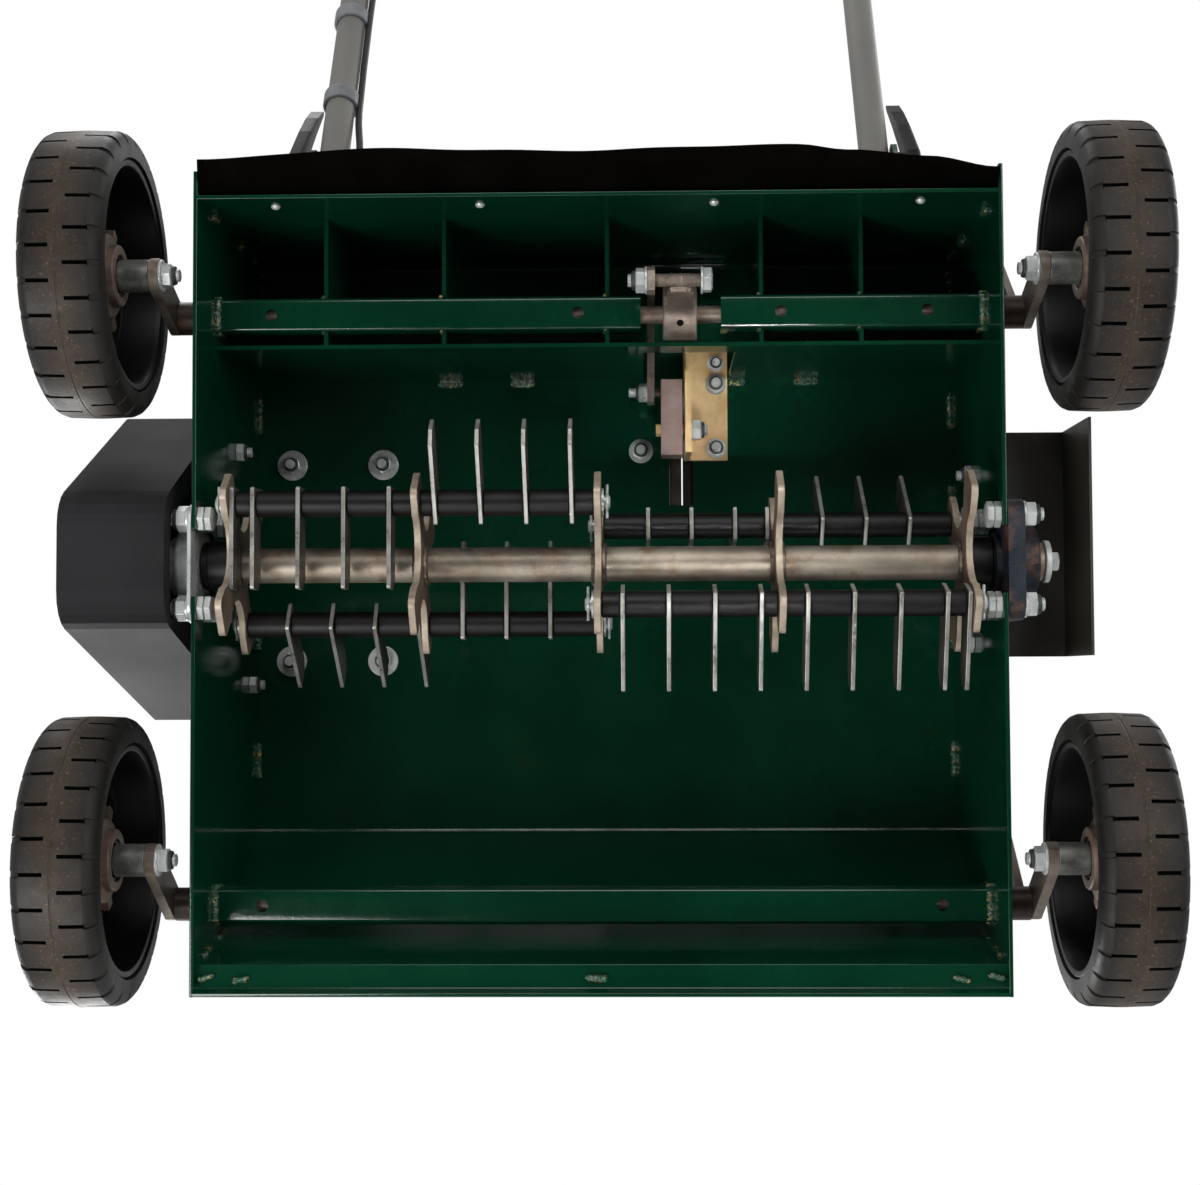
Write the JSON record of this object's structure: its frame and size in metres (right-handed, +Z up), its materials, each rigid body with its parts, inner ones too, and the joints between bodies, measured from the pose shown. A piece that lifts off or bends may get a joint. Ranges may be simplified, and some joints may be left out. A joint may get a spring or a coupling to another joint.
{
  "type": "petrol scarifier",
  "caption": "Petrol lawn scarifier: open-bottomed steel deck on four wheels with a belt-driven rotor of free-swinging blades, height lever and folding U handle.",
  "frame": {"origin": "centre of the footprint on the ground under the wheels", "axes": "+Z up, -Y towards the nose, +Y towards the handle, +X towards the belt side"},
  "size_m": [0.782, 1.4306, 1.0332],
  "materials": {
    "black_plastic": "satin black moulded plastic",
    "black_rubber": "matt black rubber",
    "bright_zinc": "bright zinc plate",
    "brown_steel": "brown-grey oiled steel",
    "cast_alloy": "as-cast aluminium alloy",
    "charcoal_sheet": "satin charcoal powder coat",
    "dark_iron": "dark blue-black cast iron with rust at the edges",
    "gold_zinc": "yellow passivated zinc",
    "green_paint": "glossy bottle-green paint over bent steel sheet",
    "grey_tube": "satin silver-grey tube",
    "muffler_steel": "heat-browned sheet",
    "olive_sheet": "dark olive-black paint, lightly scuffed",
    "red_enamel": "glossy red enamel",
    "tyre_rubber": "dusty black moulded rubber",
    "warm_steel": "bare steel with a warm grey bloom"
  },
  "bodies": {
    "machine": {"deck_shell": "green_paint", "divider_grid": "green_paint", "front_cross_tube": "green_paint", "rear_cross_tube_left": "green_paint", "rear_cross_tube_right": "green_paint", "rubber_flap": "black_rubber", "bearing_left": "bright_zinc", "bearing_right": "dark_iron", "drive_belt": "black_rubber", "belt_cover": "charcoal_sheet", "side_guard": "olive_sheet", "height_bracket": "gold_zinc", "handle_ear_left": "green_paint", "handle_ear_right": "green_paint", "throttle_cable_lower": "black_plastic", "engine_block": "cast_alloy", "fan_housing": "black_plastic", "recoil_cover": "black_plastic", "fuel_tank": "red_enamel", "muffler": "muffler_steel", "air_cleaner": "black_plastic"},
    "rotor": {"rotor_frame": "warm_steel", "end_sleeve_left": "black_plastic", "end_sleeve_right": "black_plastic", "blade_rod_left_upper": "bright_zinc", "blade_rod_left_lower": "bright_zinc", "blade_rod_right_lower": "bright_zinc", "blade_rod_right_upper": "bright_zinc", "rotor_pulley": "cast_alloy"},
    "blades_left_upper_outer": {"gang_left_upper_outer": "bright_zinc"},
    "blades_left_upper_inner": {"gang_left_upper_inner": "bright_zinc"},
    "blades_left_lower_outer": {"gang_left_lower_outer": "bright_zinc"},
    "blades_left_lower_inner": {"gang_left_lower_inner": "bright_zinc"},
    "blades_right_lower_inner": {"gang_right_lower_inner": "bright_zinc"},
    "blades_right_lower_outer": {"gang_right_lower_outer": "bright_zinc"},
    "blades_right_upper_inner": {"gang_right_upper_inner": "bright_zinc"},
    "blades_right_upper_outer": {"gang_right_upper_outer": "bright_zinc"},
    "engine_shaft": {"engine_pulley": "cast_alloy"},
    "rear_axle": {"rear_axle": "brown_steel"},
    "front_axle": {"front_axle": "brown_steel"},
    "wheel_rear_left": {"wheel_rear_left_tyre": "tyre_rubber", "wheel_rear_left_rim": "black_plastic"},
    "wheel_rear_right": {"wheel_rear_right_tyre": "tyre_rubber", "wheel_rear_right_rim": "black_plastic"},
    "wheel_front_left": {"wheel_front_left_tyre": "tyre_rubber", "wheel_front_left_rim": "black_plastic"},
    "wheel_front_right": {"wheel_front_right_tyre": "tyre_rubber", "wheel_front_right_rim": "black_plastic"},
    "tie_rod": {"tie_rod": "brown_steel"},
    "height_lever": {"height_lever": "brown_steel"},
    "height_link": {"height_link": "brown_steel"},
    "handle": {"handlebar": "grey_tube", "handle_grip": "black_rubber", "throttle_housing": "black_plastic", "throttle_cable_upper": "black_plastic"},
    "safety_bail": {"safety_bail": "bright_zinc"},
    "throttle_lever": {"throttle_lever": "black_plastic"},
    "clamp_lever_left": {"clamp_lever_left": "black_plastic"},
    "clamp_lever_right": {"clamp_lever_right": "black_plastic"},
    "starter_grip": {"starter_grip": "black_plastic"}
  },
  "joints": [
    {"name": "rotor_spin", "type": "hinge", "parent": "machine", "child": "rotor", "pos_m": [0, -0.4007, 0.1296], "axis": [1, 0, 0], "continuous": true},
    {"name": "crank_spin", "type": "hinge", "parent": "machine", "child": "engine_shaft", "pos_m": [0, -0.388, 0.4179], "axis": [1, 0, 0], "continuous": true},
    {"name": "swing_left_upper_outer", "type": "hinge", "parent": "rotor", "child": "blades_left_upper_outer", "pos_m": [0.19725, -0.3582, 0.09861], "axis": [1, 0, 0], "range_deg": [-2.1, 289.9]},
    {"name": "swing_left_upper_inner", "type": "hinge", "parent": "rotor", "child": "blades_left_upper_inner", "pos_m": [0.06475, -0.3582, 0.09861], "axis": [1, 0, 0], "range_deg": [-147.1, 144.9]},
    {"name": "swing_left_lower_outer", "type": "hinge", "parent": "rotor", "child": "blades_left_lower_outer", "pos_m": [0.19725, -0.4432, 0.16059], "axis": [1, 0, 0], "range_deg": [-130.1, 161.9]},
    {"name": "swing_left_lower_inner", "type": "hinge", "parent": "rotor", "child": "blades_left_lower_inner", "pos_m": [0.06475, -0.4432, 0.16059], "axis": [1, 0, 0], "range_deg": [-2.1, 289.9]},
    {"name": "swing_right_lower_inner", "type": "hinge", "parent": "rotor", "child": "blades_right_lower_inner", "pos_m": [-0.06475, -0.43169, 0.0871], "axis": [1, 0, 0], "range_deg": [-74.1, 217.9]},
    {"name": "swing_right_lower_outer", "type": "hinge", "parent": "rotor", "child": "blades_right_lower_outer", "pos_m": [-0.19725, -0.43169, 0.0871], "axis": [1, 0, 0], "range_deg": [-74.1, 217.9]},
    {"name": "swing_right_upper_inner", "type": "hinge", "parent": "rotor", "child": "blades_right_upper_inner", "pos_m": [-0.06475, -0.36971, 0.1721], "axis": [1, 0, 0], "range_deg": [-188.1, 103.9]},
    {"name": "swing_right_upper_outer", "type": "hinge", "parent": "rotor", "child": "blades_right_upper_outer", "pos_m": [-0.19725, -0.36971, 0.1721], "axis": [1, 0, 0], "range_deg": [-147.1, 144.9]},
    {"name": "height_rear", "type": "hinge", "parent": "machine", "child": "rear_axle", "pos_m": [0, -0.2117, 0.162], "axis": [1, 0, 0], "range_deg": [0, 30]},
    {"name": "height_front", "type": "hinge", "parent": "machine", "child": "front_axle", "pos_m": [0, -0.6507, 0.162], "axis": [1, 0, 0], "range_deg": [0, 30]},
    {"name": "spin_rear_left", "type": "hinge", "parent": "rear_axle", "child": "wheel_rear_left", "pos_m": [0.362, -0.1914, 0.1028], "axis": [1, 0, 0], "continuous": true},
    {"name": "spin_rear_right", "type": "hinge", "parent": "rear_axle", "child": "wheel_rear_right", "pos_m": [-0.362, -0.1914, 0.1028], "axis": [1, 0, 0], "continuous": true},
    {"name": "spin_front_left", "type": "hinge", "parent": "front_axle", "child": "wheel_front_left", "pos_m": [0.362, -0.6125, 0.1028], "axis": [1, 0, 0], "continuous": true},
    {"name": "spin_front_right", "type": "hinge", "parent": "front_axle", "child": "wheel_front_right", "pos_m": [-0.362, -0.6125, 0.1028], "axis": [1, 0, 0], "continuous": true},
    {"name": "tie_rod_swing", "type": "hinge", "parent": "rear_axle", "child": "tie_rod", "pos_m": [-0.3027, -0.1567, 0.237], "axis": [1, 0, 0], "range_deg": [-32, 2]},
    {"name": "lever_swing", "type": "hinge", "parent": "machine", "child": "height_lever", "pos_m": [-0.064, -0.2857, 0.262], "axis": [1, 0, 0], "range_deg": [0, 9]},
    {"name": "link_swing", "type": "hinge", "parent": "rear_axle", "child": "height_link", "pos_m": [-0.039, -0.1947, 0.118], "axis": [1, 0, 0], "range_deg": [-24, 2]},
    {"name": "handle_fold", "type": "hinge", "parent": "machine", "child": "handle", "pos_m": [0, -0.0557, 0.3267], "axis": [1, 0, 0], "range_deg": [0, 60]},
    {"name": "clamp_left", "type": "hinge", "parent": "machine", "child": "clamp_lever_left", "pos_m": [0.2454, -0.0557, 0.3267], "axis": [1, 0, 0], "range_deg": [0, 115]},
    {"name": "clamp_right", "type": "hinge", "parent": "machine", "child": "clamp_lever_right", "pos_m": [-0.2454, -0.0557, 0.3267], "axis": [1, 0, 0], "range_deg": [0, 115]},
    {"name": "bail_squeeze", "type": "hinge", "parent": "handle", "child": "safety_bail", "pos_m": [0, 0.6132, 0.90641], "axis": [-1, 0, 0], "range_deg": [0, 23], "stiffness_Nm_per_rad": 2, "springref_deg": -20.05},
    {"name": "throttle_move", "type": "hinge", "parent": "handle", "child": "throttle_lever", "pos_m": [0.1929, 0.5558, 0.85069], "axis": [-1, 0, 0], "range_deg": [0, 60]},
    {"name": "starter_pull", "type": "slide", "parent": "machine", "child": "starter_grip", "axis": [0, 1, 0], "range_m": [0, 0.16], "stiffness_N_per_m": 30, "springref_m": -0.3}
  ],
  "couplings": [
    {"joint": "crank_spin", "follows": "rotor_spin", "ratio": 0.8077},
    {"joint": "height_front", "follows": "height_rear", "ratio": 1},
    {"joint": "tie_rod_swing", "follows": "height_rear", "ratio": -1},
    {"joint": "lever_swing", "follows": "height_rear", "ratio": 0.27},
    {"joint": "link_swing", "follows": "height_rear", "ratio": -0.723}
  ]
}
